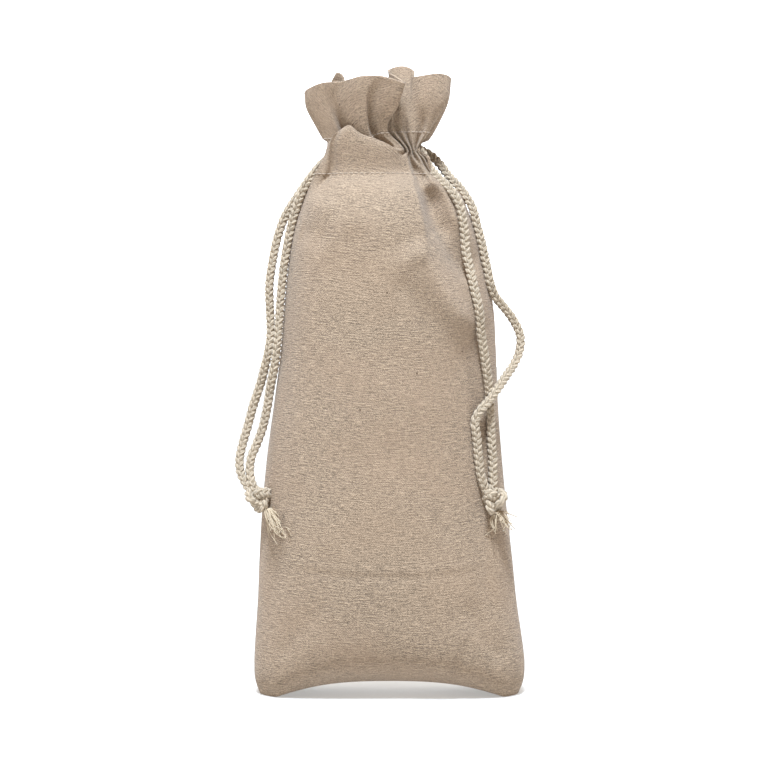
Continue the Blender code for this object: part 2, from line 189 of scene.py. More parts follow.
REAR_FOLDS = (
    (((-20, 306), (-18, 285), (-8, 262), (6, 240)), 8, 5, 3.6, 1.6),
    (((-2, 300), (2, 280), (12, 258)), 7, 8, -3.2, 2),
    (((18, 304), (22, 284), (34, 262), (44, 240)), 6, 9, 2.8, 1.6),
    (((-36, 300), (-40, 276), (-46, 250), (-48, 220)), 6, 6, -2.6, 2),
    (((-57, 255), (-61, 190), (-68, 110), (-70, 40)), 5, 6, -1.5, 2),
    (((52, 240), (53, 180), (58, 110), (63, 40)), 6, 5, -1.8, 2),
    (((-62, 80), (-20, 74), (30, 78), (66, 70)), 2.4, 2.4, -0.5, 2),
    (((-62, 24), (-48, 44), (-34, 70)), 6, 7, -1.4, 2),
    (((64, 22), (50, 46), (36, 70)), 7, 6, -1.5, 2),
)  # fmt: skip

# In metres: steps along the cords' paths, and the height below which the tails lie on the cloth
PLAIT_STEP = 0.0007
ROUTE_STEP = 0.0028
LAID_BELOW = 0.2960
# How much fuller a knot's yarns are than the cord's
KNOT_FULLNESS = 1.15
# Where each cord's tails lie, from inside the channel down to the knot
TAIL_ROUTES = {
    "left_front": (
        (-33.2, -8.7, 311.5), (-37.4, -8.6, 309.8), (-41.3, -8.4, 305.6), (-46.6, -7.8, 298.4),
        (-50.5, -7, 291.2), (-53.8, -6.2, 282.6), (-56.4, -5.8, 274), (-58.4, -5.6, 265),
        (-60.4, -5.4, 255), (-61.8, -5.4, 245), (-63, -5.6, 234), (-63.7, -6.2, 223), (-64.5, -7.4, 212),
        (-65.5, -8.4, 201), (-67.2, -8, 190), (-69.4, -6.6, 179), (-71.2, -6, 168), (-73.6, -6, 157),
        (-77.6, -7, 146), (-80.4, -8.4, 139), (-81.2, -10.4, 131), (-79.6, -12.8, 124.5),
        (-77, -14.2, 119.5),
    ),
    "left_rear": (
        (-33.2, 8.7, 311.5), (-37.4, 8.6, 310.2), (-41.8, 8.4, 306.4), (-47.4, 7.6, 299.4),
        (-52.8, 6.6, 291.6), (-57.8, 5.4, 284), (-61.6, 4.4, 277), (-64.8, 3.2, 268), (-67.2, 2, 257.5),
        (-69.2, 1, 246), (-70, 0.4, 235), (-69.6, 0.2, 223), (-69.2, -1, 212), (-70.4, -3.2, 201),
        (-73, -2.6, 190), (-76, -1.6, 179), (-79.8, -1.4, 168), (-82.6, -2.4, 157), (-85.8, -4.4, 146),
        (-87.2, -6.4, 138), (-86.4, -9, 130), (-82.8, -12, 123.5), (-79, -14, 118.5),
    ),
    "right_front": (
        (15.2, -8.7, 318.5), (18.2, -8.4, 314.4), (21.6, -9.2, 308), (25.4, -12.6, 300.6), (31, -17.4, 291),
        (36, -20, 282.4), (40.2, -22.4, 270.4), (42.4, -24.8, 260), (44.6, -27.2, 249.6),
        (46.2, -29.2, 239.4), (48, -29.6, 227), (50.2, -28, 215), (53.4, -26, 200), (55.2, -23.6, 187.6),
        (56, -21.2, 175.6), (56, -20.6, 158.6), (56.6, -20.8, 147.4), (57.4, -21, 139.6), (58, -21.8, 131),
        (58.4, -23, 124), (58.4, -24.2, 118.6),
    ),
    "right_rear": (
        (15.2, 8.7, 318.5), (19.6, 8.4, 316), (24.6, 7.4, 313), (30.2, 5.2, 307), (33.6, 2.6, 301.4),
        (37, -0.6, 296), (42, -4.6, 288), (45.9, -7.2, 281.8), (48.6, -8.8, 273.2), (51.3, -9.8, 262),
        (53.9, -11, 248.8), (56, -12, 239.6), (59.8, -10.8, 232.4), (65.6, -8.6, 226), (71.6, -7.2, 218),
        (75.2, -7.2, 209.6), (74.4, -8.6, 200), (70.8, -12, 192.6), (66.4, -17, 187), (61.6, -22.6, 180.4),
        (56, -27, 173.4), (50.8, -28.8, 168), (47.6, -28.8, 161.4), (48.2, -28, 152.6),
        (49.2, -27.2, 141.6), (50.6, -26.6, 132), (53.4, -26, 124.6), (56.4, -25.2, 119.4),
    ),
}  # fmt: skip


# ---------------------------------------------------------------------------
# Shader nodes


class Value:
    """One socket of a material, so that sums on values read as Python sums."""

    def __init__(self, shader, socket):
        self.shader = shader
        self.socket = socket

    def _with(self, operation, first, second):
        return self.shader.value(self.shader.node("ShaderNodeMath", {"operation": operation}, first, second))

    def __add__(self, other):
        return self._with("ADD", self, other)

    __radd__ = __add__

    def __sub__(self, other):
        return self._with("SUBTRACT", self, other)

    def __mul__(self, other):
        return self._with("MULTIPLY", self, other)

    __rmul__ = __mul__

    def above(self, low, high):
        """0 at low and 1 at high, and held outside them."""
        settings = {"interpolation_type": "SMOOTHSTEP"}
        node = self.shader.node("ShaderNodeMapRange", settings, self, low, high)
        return self.shader.value(node)

    def wave(self):
        return self._with("SINE", self, 0.0)


class Shader:
    """A material under construction."""

    def __init__(self, name, roughness=0.9, sheen=0.0):
        self.material = bpy.data.materials.new(name)
        self.material.use_nodes = True
        self.nodes = self.material.node_tree.nodes
        self.links = self.material.node_tree.links
        self.surface = self.nodes["Principled BSDF"]
        self.surface.inputs["Roughness"].default_value = roughness
        self.surface.inputs["Specular IOR Level"].default_value = 0.25
        self.surface.inputs["Sheen Weight"].default_value = sheen
        self.surface.inputs["Sheen Roughness"].default_value = 0.6

    def feed(self, socket, value):
        if isinstance(value, Value):
            self.links.new(value.socket, socket)
        else:
            socket.default_value = value

    def node(self, kind, settings, *values, **named):
        made = self.nodes.new(kind)
        for key, value in settings.items():
            setattr(made, key, value)
        for key, value in [*enumerate(values), *named.items()]:
            self.feed(made.inputs[key], value)
        return made

    def value(self, node, output=0):
        return Value(self, node.outputs[output])

    def map_of(self, name):
        return self.value(self.node("ShaderNodeUVMap", {"uv_map": name}))

    def scaled(self, vector, across, up, shift=0.0):
        node = self.node("ShaderNodeVectorMath", {"operation": "MULTIPLY"}, vector, (across, up, 1.0))
        moved = self.node("ShaderNodeVectorMath", {"operation": "ADD"}, self.value(node), (shift, shift, 0.0))
        return self.value(moved)

    def noise(self, vector, scale=1.0, detail=2.0, rough=0.5):
        settings = {"Vector": vector, "Scale": scale, "Detail": detail, "Roughness": rough}
        return self.value(self.node("ShaderNodeTexNoise", {}, **settings), "Fac")

    def cells(self, vector, scale):
        return self.value(self.node("ShaderNodeTexVoronoi", {}, Vector=vector, Scale=scale), "Distance")

    def parts(self, vector):
        node = self.node("ShaderNodeSeparateXYZ", {}, vector)
        return self.value(node, 0), self.value(node, 1)

    def blend(self, share, first, second):
        node = self.node("ShaderNodeMix", {"data_type": "RGBA"}, share)
        self.feed(node.inputs[6], first)
        self.feed(node.inputs[7], second)
        return self.value(node, 2)

    def colour(self, value):
        self.links.new(value.socket, self.surface.inputs["Base Color"])

    def bump(self, height, distance, strength=1.0):
        node = self.node("ShaderNodeBump", {}, Strength=strength, Distance=distance, Height=height)
        self.links.new(node.outputs["Normal"], self.surface.inputs["Normal"])


def shade_of(colour, factor):
    return (colour[0] * factor, colour[1] * factor, colour[2] * factor, 1.0)


def canvas_material(name, look):
    """Unbleached plain-weave canvas, with thick and thin weft, slubs and seed flecks."""
    shader = Shader(name, 0.92, 0.12)
    cloth = shader.map_of("cloth")
    weft = look.weft_pitch
    base = tuple(look.canvas_colour)
    blotch = shader.noise(shader.scaled(cloth, 16, 22), 1.0, 3.0)
    rows = shader.noise(shader.scaled(cloth, 420, 1 / weft / 0.95), 1.0, 1.0, 0.6)
    slubs = shader.noise(shader.scaled(cloth, 170, 1 / weft / 0.90, 40), 1.0, 1.0)
    grain = shader.noise(shader.scaled(cloth, 1150, 1 / weft / 0.80, 11), 1.0, 1.0)
    warp = shader.noise(shader.scaled(cloth, 1150, 60, 23), 1.0, 1.0)
    slub = slubs.above(0.56, 0.70)
    thin = slubs.above(0.44, 0.30)
    seeds_at = shader.scaled(cloth, 1.0, 1.0, 3.1)
    seeds = shader.cells(seeds_at, 120).above(0.085, 0.045)
    seeds = seeds * shader.noise(seeds_at, 60, 1.0).above(0.56, 0.62)
    specks = shader.cells(seeds_at, 330).above(0.14, 0.07)
    specks = specks * shader.noise(seeds_at, 140, 1.0).above(0.54, 0.64)
    tone = 0.86 + 0.12 * blotch + 0.70 * (rows - 0.5) + 1.20 * (grain - 0.5) + 0.08 * (warp - 0.5)
    tone = tone + 0.26 * slub - 0.22 * thin
    pale = shader.blend(tone.above(0.50, 1.36), shade_of(base, 0.52), shade_of(base, 1.55))
    warmer = (base[0] * 1.05, base[1] * 0.96, base[2] * 0.90, 1.0)
    warm = shader.blend(blotch.above(0.35, 0.7) * 0.3, pale, warmer)
    flecked = shader.blend(specks * 0.5, warm, (0.16, 0.10, 0.055, 1.0))
    shader.colour(shader.blend(seeds * 0.8, flecked, (0.075, 0.042, 0.022, 1.0)))
    across, up = shader.parts(cloth)
    plain = (across * (math.pi / look.warp_pitch)).wave() * (up * (math.pi / weft)).wave()
    height = 0.5 + 0.18 * plain + 0.9 * (rows - 0.5) + 0.6 * (grain - 0.5) + 0.35 * slub - 0.25 * thin
    shader.bump(height, look.weave_depth, 0.9)
    return shader.material


def cord_material(name, colour):
    """Soft cotton yarn: fine plies that turn round each strand, with painted shade in the grooves between
    plies and a painted highlight on their crests, over the yarn's own random tone.
    """
    shader = Shader(name, 0.93, 0.2)
    strand = shader.map_of("strand")
    around, along = shader.parts(strand)
    ply_relief_and_shade = (around * (2 * math.pi * 4) + along * (2 * math.pi / 0.0021)).wave()
    fibres = shader.noise(shader.scaled(strand, 26, 2600), 1.0, 3.0, 0.6)
    drift = shader.noise(shader.scaled(strand, 1.5, 190, 7), 1.0, 2.0)
    base = tuple(colour)
    # the ply wave darkens the grooves as painted shade and lightens the crests as painted highlight; the
    # fibres and drift are the yarn's own random tone
    tone = 0.5 + 0.20 * ply_relief_and_shade + 0.55 * (fibres - 0.5) + 0.5 * (drift - 0.5)
    shader.colour(shader.blend(tone.above(0.05, 0.95), shade_of(base, 0.60), shade_of(base, 1.30)))
    shader.bump(0.5 + 0.4 * ply_relief_and_shade + 0.5 * (fibres - 0.5), 0.0003, 0.9)
    return shader.material


def thread_material(name, colour):
    """Sewing thread and loose fibres."""
    shader = Shader(name, 0.85, 0.15)
    place = shader.value(shader.node("ShaderNodeTexCoord", {}), "Object")
    fibres = shader.noise(place, 900, 2.0)
    base = tuple(colour)
    shader.colour(shader.blend(fibres, shade_of(base, 0.78), shade_of(base, 1.18)))
    shader.bump(fibres, 0.0002, 0.6)
    return shader.material


# ---------------------------------------------------------------------------
# Shapes of the cloth


def smooth_step(t):
    t = np.clip(t, 0.0, 1.0)
    return t * t * (3 - 2 * t)


def through(table, at):
    """Values at those places on a smooth curve through a table's rows."""
    table = np.array(table, float)
    keys, values = table[:, 0], table[:, 1:]
    slopes = np.gradient(values, keys, axis=0)
    at = np.atleast_1d(np.asarray(at, float))
    i = np.clip(np.searchsorted(keys, at, side="right") - 1, 0, len(keys) - 2)
    step = (keys[i + 1] - keys[i])[:, None]
    t = ((at - keys[i]) / step[:, 0])[:, None]
    a, b = values[i], values[i + 1]
    return (
        a * (1 + 2 * t) * (1 - t) ** 2
        + b * t * t * (3 - 2 * t)
        + slopes[i] * step * t * (1 - t) ** 2
        - slopes[i + 1] * step * t * t * (1 - t)
    )


def lengths_along(points):
    return np.concatenate([[0], np.cumsum(np.linalg.norm(np.diff(points, axis=0), axis=1))])


def at_lengths(wanted, lengths, points):
    return np.column_stack([np.interp(wanted, lengths, points[:, k]) for k in range(3)])


def grid_faces(rows, count):
    index = np.arange(rows * count).reshape(rows, count)
    return np.stack([index[:-1, :-1], index[:-1, 1:], index[1:, 1:], index[1:, :-1]], axis=-1).reshape(-1, 4)


def arch(x):
    """How high the bottom seam stands off the table."""
    return ARCH_HEIGHT * np.maximum(0.0, 1 - (np.abs(x) / ARCH_HALF) ** ARCH_POWER)


def body_row(height, count, crowding):
    """Points across the filled body at that height, even along the cloth except near the channel."""
    left, right = through(BODY_EDGES, height)[0]
    depth, power, edge = through(BODY_DEPTHS, height)[0]
    u = np.sin(np.pi * (np.linspace(0, 1, 601) - 0.5))
    x = (left + right) / 2 + (right - left) / 2 * u
    rise = min(height / BOTTOM_ROUNDING, 1.0)
    corner = np.minimum(np.abs(x) / ARCH_HALF, 1) ** 2
    blunt = BOTTOM_BLUNTNESS + (1 - BOTTOM_BLUNTNESS) * corner
    closing = blunt + (1 - blunt) * math.sqrt(1 - (1 - rise) ** 2)
    y = -np.maximum(depth * closing * np.maximum(0, 1 - np.abs(u) ** power) ** edge, 0.03)
    length = np.concatenate([[0], np.cumsum(np.hypot(np.diff(x), np.diff(y)))])
    even = np.linspace(0, 1, count)
    crowded = through(np.column_stack([np.linspace(0, 1, len(crowding)), crowding]), even)[:, 0]
    share = float(smooth_step((height - CROWDING_FROM) / CROWDING_OVER))
    at = length[-1] * ((1 - share) * even + share * crowded)
    x, y = np.interp(at, length, x), np.interp(at, length, y)
    z = height + arch(x) * (1 - min(height / ARCH_BLEND, 1))
    return np.stack([x, y, z], axis=1)


def pleat_row(places, heights, count):
    """Points across the pleated cloth, on a smooth curve through the places given."""
    marks = np.linspace(0, 1, len(places))
    table = np.column_stack([marks, np.array(places, float), np.broadcast_to(heights, len(places))])
    return through(table, np.linspace(0, 1, count))


def turned(row):
    """The front's row of pleats turned half round the neck, for the rear, seen as if from the front."""
    places = np.array(row, float)
    low, high = places[:, 0].min(), places[:, 0].max()
    places[:, 0] = low + high - places[:, 0]
    return [tuple(p) for p in places[::-1]]


def cloth_rows(front, count):
    """The cloth's shape at chosen heights, as (height along the cloth, points across it)."""
    crowding = CROWDING if front else [1 - share for share in CROWDING[::-1]]
    heights = [0, 0.6, 1.6, 3.2, 5.5, 8.5, 12, 16, 20, 25, 31, 38, 46, 55, *range(66, 232, 11)]
    heights += [242, 252, 260, 268, 276, 284, 291]
    rows = [(height, body_row(height, count, crowding)) for height in heights]
    hem = HEM_HEIGHTS if front else REAR_HEM_HEIGHTS
    stitched, drawn = UPPER_STITCH_HEIGHTS, CINCH_HEIGHTS
    pleats = (LOWER_STITCH_ROW, CHANNEL_MIDDLE_ROW, CINCH_ROW, UPPER_STITCH_ROW, MIDDLE_ROW, HEM_ROW)
    if not front:
        pleats = [turned(row) for row in pleats]
        hem, stitched, drawn = hem[::-1], stitched[::-1], drawn[::-1]
    middle = [UPPER_STITCH + FRILL_MIDDLE_SHARE * (h - UPPER_STITCH) for h in hem]
    heights = (LOWER_STITCH, CHANNEL_MIDDLE, drawn, stitched, middle, hem)
    at = (LOWER_STITCH, CHANNEL_MIDDLE, CINCH, UPPER_STITCH, FRILL_MIDDLE, HEM)
    rows += [(key, pleat_row(row, h, count)) for key, row, h in zip(at, pleats, heights)]
    return rows


def cloth_levels():
    """Heights along the cloth for the mesh's rows, closer together where the pleats are."""
    levels = [0, 0.5, 1.2, 2.2, 3.5, 5.0, 7.0, 9.0]
    levels += list(np.arange(11, 290, 2.0))
    levels += list(np.arange(291, 302, 0.9))
    levels += list(np.arange(302, 321, 0.5))
    levels += list(np.arange(321, 362.01, 0.82))
    return np.array(levels)


def fold_distance(x, z, line):
    """Signed distance to a fold's line, positive to its right going down, and a fade at its ends."""
    best = np.full(x.shape, 1e9)
    side = np.zeros(x.shape)
    share = np.zeros(x.shape)
    parts = len(line) - 1
    for k in range(parts):
        (ax, az), (bx, bz) = line[k], line[k + 1]
        dx, dz = bx - ax, bz - az
        t = np.clip(((x - ax) * dx + (z - az) * dz) / (dx * dx + dz * dz), 0, 1)
        px, pz = x - ax - t * dx, z - az - t * dz
        d = np.hypot(px, pz)
        nearer = d < best
        best = np.where(nearer, d, best)
        side = np.where(nearer, np.sign(dx * (z - az) - dz * (x - ax)), side)
        share = np.where(nearer, (k + t) / parts, share)
    fade = smooth_step(share / 0.18) * smooth_step((1 - share) / 0.3)
    return best * side, fade


def sag_noise(x, z, scale, seed):
    """Smooth unevenness over the cloth, from -1 to 1."""
    out = np.empty(x.shape)
    for i in range(x.shape[0]):
        for j in range(x.shape[1]):
            out[i, j] = noise.noise((x[i, j] / scale, seed, z[i, j] / scale))
    return out


def cloth_points(front, count):
    """Every point of the front or rear cloth, seen from outside: rows up, columns from left to right."""
    rows = cloth_rows(front, count)
    keys = np.array([key for key, _ in rows], float)
    stack = np.array([points for _, points in rows])
    levels = cloth_levels()
    table = np.column_stack([keys, stack.reshape(len(keys), -1)])
    points = through(table, levels).reshape(len(levels), count, 3)
    x, y, z = points[..., 0].copy(), points[..., 1].copy(), points[..., 2].copy()
    level = np.broadcast_to(levels[:, None], x.shape)
    across = np.broadcast_to(np.linspace(0, 1, count)[None, :], x.shape)

    # the folds and the uneven filling, which fade out at the seams
    inner = smooth_step(across / 0.05) * smooth_step((1 - across) / 0.05)
    body = inner * smooth_step((LOWER_STITCH - level) / 8) * smooth_step((level - 1) / 14)
    out = np.zeros(x.shape)
    for line, left_width, right_width, rise, crisp in FRONT_FOLDS if front else REAR_FOLDS:
        distance, fade = fold_distance(x, level, line)
        width = np.where(distance > 0, right_width, left_width)
        out += rise * fade * np.exp(-(np.abs(distance / width) ** crisp))
    out += 1.1 * sag_noise(x, level, 46, 3.3 if front else 9.1) + 0.35 * sag_noise(x, level, 17, 5.7)
    y -= out * body

    # the cloth swells up over the drawn channel
    puff = through(PUFF if front else REAR_PUFF, x.ravel())[:, 0].reshape(x.shape)
    puff = np.maximum(puff, 0)
    over = smooth_step((level - 302) / 11) * smooth_step((319.5 - level) / 6)
    z += puff * over
    y -= PUFF_OUT * np.minimum(puff / FULL_PUFF, 1) * over

    # small gathers, sharpest at the channel
    tight = np.exp(-(((level - 322) / 7) ** 2)) * inner
    drift = 2.2 * np.sin(across * 2 * np.pi * 7 + level * 0.05)
    ripple = np.sin(across * 2 * np.pi * SMALL_GATHERS + drift)
    y -= 0.35 * ripple * tight
    flutter = smooth_step((level - 334) / 14)
    y -= 0.55 * sag_noise(across * FLAT_WIDTH, level, 13, 1.9 if front else 6.1) * flutter
    z -= 0.4 * sag_noise(across * FLAT_WIDTH, level * 0, 9, 2.9 if front else 4.1) * flutter
    if not front:
        y = -y
    return np.stack([x, y, z], axis=-1) * MM, levels


def soften(values, times):
    for _ in range(times):
        inner = (values[:, :-2] + 2 * values[:, 1:-1] + values[:, 2:]) / 4
        values = np.concatenate([values[:, :1], inner, values[:, -1:]], axis=1)
    return values


# ---------------------------------------------------------------------------
# Making pieces


def new_piece(name, mesh, material):
    mesh.materials.append(material)
    piece = bpy.data.objects.new(name, mesh)
    bpy.context.scene.collection.objects.link(piece)
    return piece


def only(piece):
    bpy.ops.object.select_all(action="DESELECT")
    piece.select_set(True)
    bpy.context.view_layer.objects.active = piece


def smooth(piece):
    only(piece)
    bpy.ops.object.shade_smooth()


def finished(mesh, name, look):
    """The mesh under construction as a smooth piece with its material."""
    bmesh.ops.recalc_face_normals(mesh, faces=mesh.faces)
    data = bpy.data.meshes.new(name)
    mesh.to_mesh(data)
    mesh.free()
    piece = new_piece(name, data, material(look))
    smooth(piece)
    return piece


def grid_mesh(name, points, maps, flip):
    """A sheet through a grid of points, with one UV map in metres along the cloth."""
    rows, count = points.shape[:2]
    faces = grid_faces(rows, count)
    if flip:
        faces = faces[:, ::-1]
    mesh = bpy.data.meshes.new(name)
    mesh.from_pydata(points.reshape(-1, 3).tolist(), [], faces.tolist())
    layer = mesh.uv_layers.new(name="cloth")
    layer.data.foreach_set("uv", maps.reshape(-1, 2)[faces.reshape(-1)].ravel())
    return mesh


def cloth_maps(points):
    """Distances along the cloth: across from the left seam, and up from the bottom."""
    rows, count = points.shape[:2]
    up = np.linalg.norm(np.diff(points, axis=0), axis=2)
    up = np.concatenate([np.zeros((1, count)), np.cumsum(up, axis=0)])
    up = soften(up, 12)
    across = np.broadcast_to(np.linspace(0, FLAT_WIDTH * MM, count)[None, :], (rows, count))
    return np.stack([across, up], axis=-1)


def thicken(piece, thickness, group=None, least=1.0):
    only(piece)
    wall = piece.modifiers.new("cloth thickness", "SOLIDIFY")
    wall.thickness = thickness
    wall.offset = -1.0
    wall.use_rim = True
    if group is not None:
        wall.vertex_group = group
        wall.thickness_vertex_group = least
    bpy.ops.object.modifier_apply(modifier=wall.name)


def cloth_piece(context, front):
    """One cloth from the bottom seam to the frill's edge, with the frill made doubled in thickness."""
    look = context.scene.gift_bag_cloth
    name = "front" if front else "rear"
    points, levels = cloth_points(front, look.columns)
    points = soften(points, 1)
    mesh = grid_mesh(f"{name}_cloth", points, cloth_maps(points), not front)
    piece = new_piece(f"{name}_cloth", mesh, material("canvas"))
    group = piece.vertex_groups.new(name="doubled")
    doubled = np.flatnonzero(levels >= UPPER_STITCH)
    for row in doubled:
        share = float(smooth_step((levels[row] - UPPER_STITCH) / 3))
        group.add(list(range(row * look.columns, (row + 1) * look.columns)), share, "REPLACE")
    thicken(piece, look.frill_thickness, "doubled", look.cloth_thickness / look.frill_thickness)
    piece.vertex_groups.clear()
    smooth(piece)
    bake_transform(piece)
    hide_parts(f"{name}_panel", f"{name}_frill")
    return piece


MATERIALS = {}


def material(name):
    """The finished material of that name, made the first time that it is asked for."""
    if name not in MATERIALS:
        scene = bpy.context.scene
        if name == "canvas":
            MATERIALS[name] = canvas_material("canvas", scene.gift_bag_cloth)
        elif name == "cord":
            MATERIALS[name] = cord_material("cord_cotton", scene.gift_bag_cords.colour)
        elif name == "thread":
            MATERIALS[name] = thread_material("thread", scene.gift_bag_cloth.thread_colour)
        else:
            MATERIALS[name] = thread_material("frayed_cotton", scene.gift_bag_cords.frayed_colour)
    return MATERIALS[name]


def smooth_route(route, step):
    """Points about a step apart on a smooth curve through the route's own points."""
    route = np.array(route, float)
    marks = np.arange(len(route), dtype=float)
    fine = through(np.column_stack([marks, route]), np.linspace(0, len(route) - 1, 8 * len(route)))
    length = lengths_along(fine)
    count = max(3, int(round(length[-1] / step)) + 1)
    even = np.linspace(0, length[-1], count)
    return at_lengths(even, length, fine), length[-1]


def ways_along(points):
    along = np.gradient(points, axis=0)
    return along / np.linalg.norm(along, axis=1)[:, None]


def directions(points, face):
    """Along, sideways and outward directions at each point of a path that faces one way."""
    along = ways_along(points)
    side = np.cross(along, np.array(face, float))
    side /= np.linalg.norm(side, axis=1)[:, None]
    return along, side, np.cross(side, along)


def carried_directions(points, first):
    """The same directions carried along a path without twisting, for paths that turn every way."""
    along = ways_along(points)
    side = np.empty_like(points)
    current = np.array(first, float)
    for k, way in enumerate(along):
        current = current - way * np.dot(current, way)
        current /= np.linalg.norm(current)
        side[k] = current
    return along, side, np.cross(side, along)


def strand_faces(mesh, layer, points, radii, sides, along_map):
    """A closed tube in a mesh under construction, with a strand map on its faces."""
    along, side, out = carried_directions(points, (0.31, 0.87, 0.38))
    angles = 2 * np.pi * np.arange(sides) / sides
    rings = []
    for p, s, o, r in zip(points, side, out, radii):
        rings.append([mesh.verts.new(p + r * (math.cos(a) * s + math.sin(a) * o)) for a in angles])
    for k in range(len(rings) - 1):
        for j in range(sides):
            n = (j + 1) % sides
            face = mesh.faces.new((rings[k][j], rings[k][n], rings[k + 1][n], rings[k + 1][j]))
            u = (j / sides, (j + 1) / sides)
            v = (along_map[k], along_map[k + 1])
            for loop, uv in zip(face.loops, ((u[0], v[0]), (u[1], v[0]), (u[1], v[1]), (u[0], v[1]))):
                loop[layer].uv = uv
    mesh.faces.new(rings[0][::-1])
    mesh.faces.new(rings[-1])


def plait(name, centre, frames, pitch, size, start=0.0):
    """Three yarns plaited along a path: the herringbone of a soft cotton cord."""
    along, side, out = frames
    mesh = bmesh.new()
    layer = mesh.loops.layers.uv.new("strand")
    length = lengths_along(centre)
    half, thick, yarn = size
    for k in range(3):
        turn = 2 * np.pi * ((length + start) / pitch + k / 3)
        places = centre + side * (half * np.sin(turn))[:, None]
        places = places + out * (thick * np.sin(2 * turn))[:, None]
        radii = np.full(len(centre), yarn) * (1 + 0.05 * np.sin(length / 0.0031 + 2 * k))
        radii[0] *= 0.7
        radii[-1] *= 0.7
        strand_faces(mesh, layer, places, radii, 8, length + 0.37 * k)
    return finished(mesh, name, "cord")


def outer_surface(columns):
    """The outside of both cloths as one search tree, for what lies against it."""
    corners, faces = [], []
    for front in (True, False):
        points = cloth_points(front, columns)[0]
        quads = grid_faces(*points.shape[:2]) + len(corners)
        faces += (quads if front else quads[:, ::-1]).tolist()
        corners += points.reshape(-1, 3).tolist()
    return BVHTree.FromPolygons(corners, faces)


def laid_against(path, surface, gap, free):
    """The path with every point below the height free moved out until it clears the surface."""
    path = path.copy()
    for _ in range(3):
        push = np.zeros(path.shape)
        for k, point in enumerate(path):
            place, normal, _, distance = surface.find_nearest(Vector(point))
            height = (Vector(point) - place).dot(normal)
            if point[2] < free and distance < 0.012 and height < gap:
                push[k] = np.array(normal) * (gap - height)
        for _ in range(12):
            push[1:-1] = 0.4 * push[1:-1] + 0.3 * (push[:-2] + push[2:])
        path += push
    return path


def cord_size(look):
    """The plait's half width, half thickness and yarn radius for that cord's diameter."""
    d = look.diameter
    return 0.32 * d, 0.18 * d, 0.26 * d


# ---------------------------------------------------------------------------
# Settings


def length_setting(name, description, default, precision=2):
    return bpy.props.FloatProperty(
        name=name, description=description, default=default, unit="LENGTH", precision=precision
    )


def count_setting(name, description, default, least, most):
    return bpy.props.IntProperty(name=name, description=description, default=default, min=least, max=most)


def colour_setting(name, description, default):
    return bpy.props.FloatVectorProperty(
        name=name, description=description, default=default, subtype="COLOR", size=3, min=0, max=1
    )


class GiftBagCloth(bpy.types.PropertyGroup):
    """Sizes and colours of the canvas."""

    cloth_thickness: length_setting("Cloth Thickness", "Thickness of the canvas", 0.0007, 5)
    frill_thickness: length_setting("Frill Thickness", "Thickness of the doubled frill", 0.0013, 5)
    flat_width: length_setting("Flat Width", "Width of one panel laid flat", FLAT_WIDTH * MM)
    flat_length: length_setting("Flat Length", "Length of one panel laid flat", 0.381)
    columns: count_setting("Columns", "Mesh columns across one panel", 168, 48, 200)
    weft_pitch: length_setting("Weft Pitch", "Spacing of the threads that run across", 0.0008, 5)
    warp_pitch: length_setting("Warp Pitch", "Spacing of the threads that run up", 0.0006, 5)
    weave_depth: length_setting("Weave Depth", "Relief of the weave", 0.0004, 5)
    stitch_length: length_setting("Stitch Length", "Spacing of the stitches", 0.0030, 5)
    canvas_colour: colour_setting("Canvas Colour", "Colour of the unbleached canvas", (0.318, 0.233, 0.160))
    thread_colour: colour_setting("Thread Colour", "Colour of the sewing thread", (0.44, 0.35, 0.27))


class GiftBagCords(bpy.types.PropertyGroup):
    """Sizes and colours of the drawcords."""

    diameter: length_setting("Diameter", "Diameter of a drawcord", 0.0048, 4)
    pitch: length_setting("Plait Pitch", "Length of one full turn of the plait", 0.0102, 4)
    knot_rise: length_setting("Knot Rise", "How much higher the soft knot sits than its block", 0.0022, 4)
    fibres: count_setting("Frayed Fibres", "Loose yarns below each knot", 46, 8, 120)
    colour: colour_setting("Cord Colour", "Colour of the cotton cord", (0.44, 0.352, 0.252))
    frayed_colour: colour_setting("Frayed Colour", "Colour of the loose yarns", (0.52, 0.41, 0.28))


# ---------------------------------------------------------------------------
# Operators


class GIFTBAG_OT_front_cloth(bpy.types.Operator):
    """Make the front cloth: body, channel and frill"""

    bl_idname = "gift_bag.front_cloth"
    bl_label = "Front Cloth"

    def execute(self, context):
        cloth_piece(context, True)
        return {"FINISHED"}


class GIFTBAG_OT_rear_cloth(bpy.types.Operator):
    """Make the rear cloth: body, channel and frill"""

    bl_idname = "gift_bag.rear_cloth"
    bl_label = "Rear Cloth"

    def execute(self, context):
        cloth_piece(context, False)
        return {"FINISHED"}


class GIFTBAG_OT_facings(bpy.types.Operator):
    """Make the inner layers of the channel"""

    bl_idname = "gift_bag.facings"
    bl_label = "Channel Facings"

    def execute(self, context):
        look = context.scene.gift_bag_cloth
        for side, name in ((-1, "front_facing"), (1, "rear_facing")):
            low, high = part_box(name)
            count, rows = 110, 16
            across = np.linspace(low.x, high.x, count)
            up = np.linspace(low.z, high.z, rows)
            x, z = np.meshgrid(across, up)
            wave = np.sin((x - low.x) / (high.x - low.x) * 2 * np.pi * 8 + 0.6 * np.sin(z * 400))
            closed = smooth_step((x - low.x) / 0.009) * smooth_step((high.x - x) / 0.009)
            y = side * (abs(low.y + high.y) / 2 * (0.12 + 0.88 * closed) + 0.0010 * wave * closed)
            points = np.stack([x, y, z], axis=-1)
            mesh = grid_mesh(f"{name}_cloth", points, cloth_maps(points), side > 0)
            piece = new_piece(f"{name}_cloth", mesh, material("canvas"))
            thicken(piece, look.cloth_thickness)
            smooth(piece)
            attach(piece, "bag")
            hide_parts(name)
        return {"FINISHED"}


